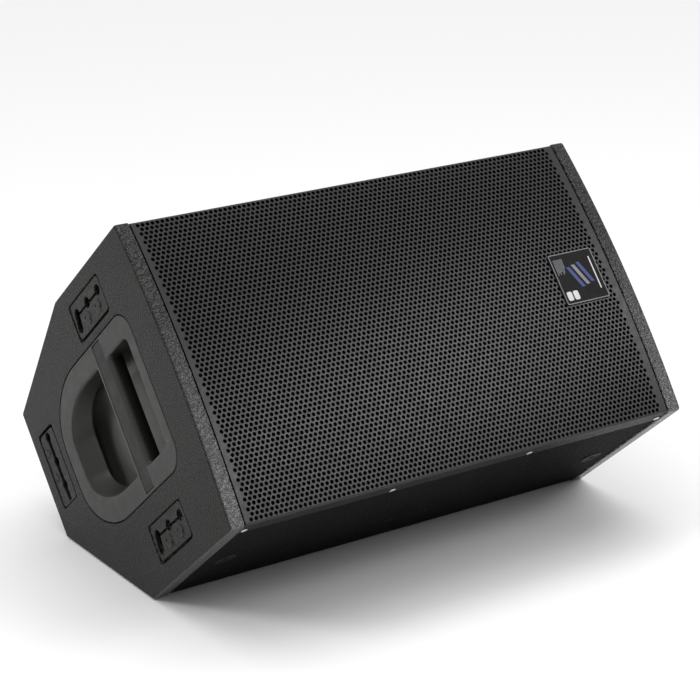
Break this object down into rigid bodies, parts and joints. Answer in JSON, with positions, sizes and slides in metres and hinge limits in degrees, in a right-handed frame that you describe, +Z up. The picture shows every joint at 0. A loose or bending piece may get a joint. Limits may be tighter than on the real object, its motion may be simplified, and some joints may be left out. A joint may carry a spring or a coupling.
{
  "type": "stage monitor wedge",
  "caption": "Powered two-way stage monitor with a perforated bulging front, end handle, rigging plates and rear controls, lying tilted on its floor side.",
  "frame": {"origin": "on the floor, at the bottom centre of the box round the part", "axes": "+X along the cabinet from its handle end to its foot end, -Y is the audience-facing front that tilts up 50 degrees from the floor, +Z up"},
  "size_m": [0.6004, 0.4681, 0.4059],
  "materials": {
    "textured_coating": "charcoal sprayed polyurea coating, fine pebbled texture, low sheen",
    "side_coating": "plywood sprayed with black polyurea, fine pebbled texture, matt",
    "handle_plastic": "smooth moulded charcoal plastic, matt",
    "grille_steel": "dark grey powder coat on perforated steel, satin",
    "acoustic_foam": "open-cell black foam, matt",
    "badge": "dark printed plate, satin",
    "casting": "black painted casting, satin",
    "dark_steel": "dark coated steel and ferrite, satin",
    "paper_cone": "pressed paper, matt",
    "copper_winding": "lacquered winding on its former",
    "woven_spider": "impregnated cloth, matt",
    "rubber": "black rubber, matt",
    "black_plastic": "moulded black plastic, satin",
    "bright_metal": "plated metal, bright",
    "tray_metal": "black powder-coated sheet, fine texture",
    "heat_sink_metal": "black anodised extrusion, satin",
    "circuit_board": "green circuit board, satin",
    "button_plastic": "grey moulded cap, satin",
    "rocker_plastic": "black moulded rocker, gloss",
    "socket_plastic": "black moulded socket with metal contacts",
    "inlet_plastic": "blue moulded locking inlet, satin",
    "outlet_plastic": "grey moulded locking outlet, satin",
    "plate_steel": "black plated steel, satin"
  },
  "bodies": {
    "cabinet": {"handle_end_panel": "textured_coating", "foot_end_panel": "textured_coating", "floor_board": "side_coating", "rear_board": "side_coating", "back_slope_board": "side_coating", "lower_side_board": "side_coating", "upper_side_board": "side_coating", "front_baffle": "side_coating", "carry_handle": "handle_plastic", "front_grille": "grille_steel", "grille_foam": "acoustic_foam", "badge_plate": "badge", "woofer_basket": "casting", "woofer_magnet": "dark_steel", "spider": "woven_spider", "surround": "rubber", "horn": "black_plastic", "compression_driver": "casting", "port_duct_lower": "black_plastic", "port_duct_upper": "black_plastic", "rear_tray": "tray_metal", "heat_sink": "heat_sink_metal", "amplifier_board": "circuit_board", "power_supply": "circuit_board", "switch_bezel": "black_plastic", "xlr_input": "socket_plastic", "xlr_output": "socket_plastic", "power_inlet": "inlet_plastic", "power_outlet": "outlet_plastic", "pole_socket": "black_plastic", "floor_strip_front": "rubber", "floor_strip_rear": "rubber", "rigging_plate_top_upper": "plate_steel", "rigging_plate_top_lower": "plate_steel", "rigging_plate_top_rear": "plate_steel", "rigging_plate_foot_upper": "plate_steel", "rigging_plate_foot_lower": "plate_steel", "rigging_plate_foot_rear": "plate_steel", "grille_screw_lower_1": "plate_steel", "grille_screw_lower_2": "plate_steel", "grille_screw_lower_3": "plate_steel", "grille_screw_lower_4": "plate_steel", "grille_screw_upper_1": "plate_steel", "grille_screw_upper_2": "plate_steel", "grille_screw_upper_3": "plate_steel", "grille_screw_upper_4": "plate_steel", "end_foot_1": "rubber", "end_foot_2": "rubber", "end_foot_3": "rubber", "end_foot_4": "rubber"},
    "woofer_cone": {"woofer_cone": "paper_cone", "dust_cap": "paper_cone", "voice_coil": "copper_winding"},
    "hf_diaphragm": {"hf_diaphragm": "bright_metal"},
    "volume_knob": {"volume_knob": "black_plastic"},
    "tone_knob": {"tone_knob": "black_plastic"},
    "power_rocker": {"power_rocker": "rocker_plastic"},
    "low_cut_button": {"low_cut_button": "button_plastic"},
    "ground_lift_button": {"ground_lift_button": "button_plastic"},
    "xlr_latch": {"xlr_latch": "bright_metal"}
  },
  "joints": [
    {"name": "cone_excursion", "type": "slide", "parent": "cabinet", "child": "woofer_cone", "axis": [0, -0.766, 0.6428], "range_m": [-0.007, 0.007], "stiffness_N_per_m": 4500, "deforming": ["surround", "spider"]},
    {"name": "diaphragm_excursion", "type": "slide", "parent": "cabinet", "child": "hf_diaphragm", "axis": [0, -0.766, 0.6428], "range_m": [-0.0003, 0.0003], "stiffness_N_per_m": 3000},
    {"name": "volume_turn", "type": "hinge", "parent": "cabinet", "child": "volume_knob", "pos_m": [0.11785, 0.18133, 0.09509], "axis": [0, 0.766, -0.6428], "range_deg": [-150, 150]},
    {"name": "tone_turn", "type": "hinge", "parent": "cabinet", "child": "tone_knob", "pos_m": [0.15585, 0.18133, 0.09509], "axis": [0, 0.766, -0.6428], "range_deg": [-150, 150]},
    {"name": "power_rock", "type": "hinge", "parent": "cabinet", "child": "power_rocker", "pos_m": [0.13585, 0.15094, 0.05793], "axis": [0, 0.6428, 0.766], "range_deg": [0, 16]},
    {"name": "low_cut_press", "type": "slide", "parent": "cabinet", "child": "low_cut_button", "axis": [0, -0.766, 0.6428], "range_m": [0, 0.002], "stiffness_N_per_m": 400},
    {"name": "ground_lift_press", "type": "slide", "parent": "cabinet", "child": "ground_lift_button", "axis": [0, -0.766, 0.6428], "range_m": [0, 0.002], "stiffness_N_per_m": 400},
    {"name": "latch_press", "type": "slide", "parent": "cabinet", "child": "xlr_latch", "axis": [0, -0.766, 0.6428], "range_m": [0, 0.0012], "stiffness_N_per_m": 500}
  ]
}
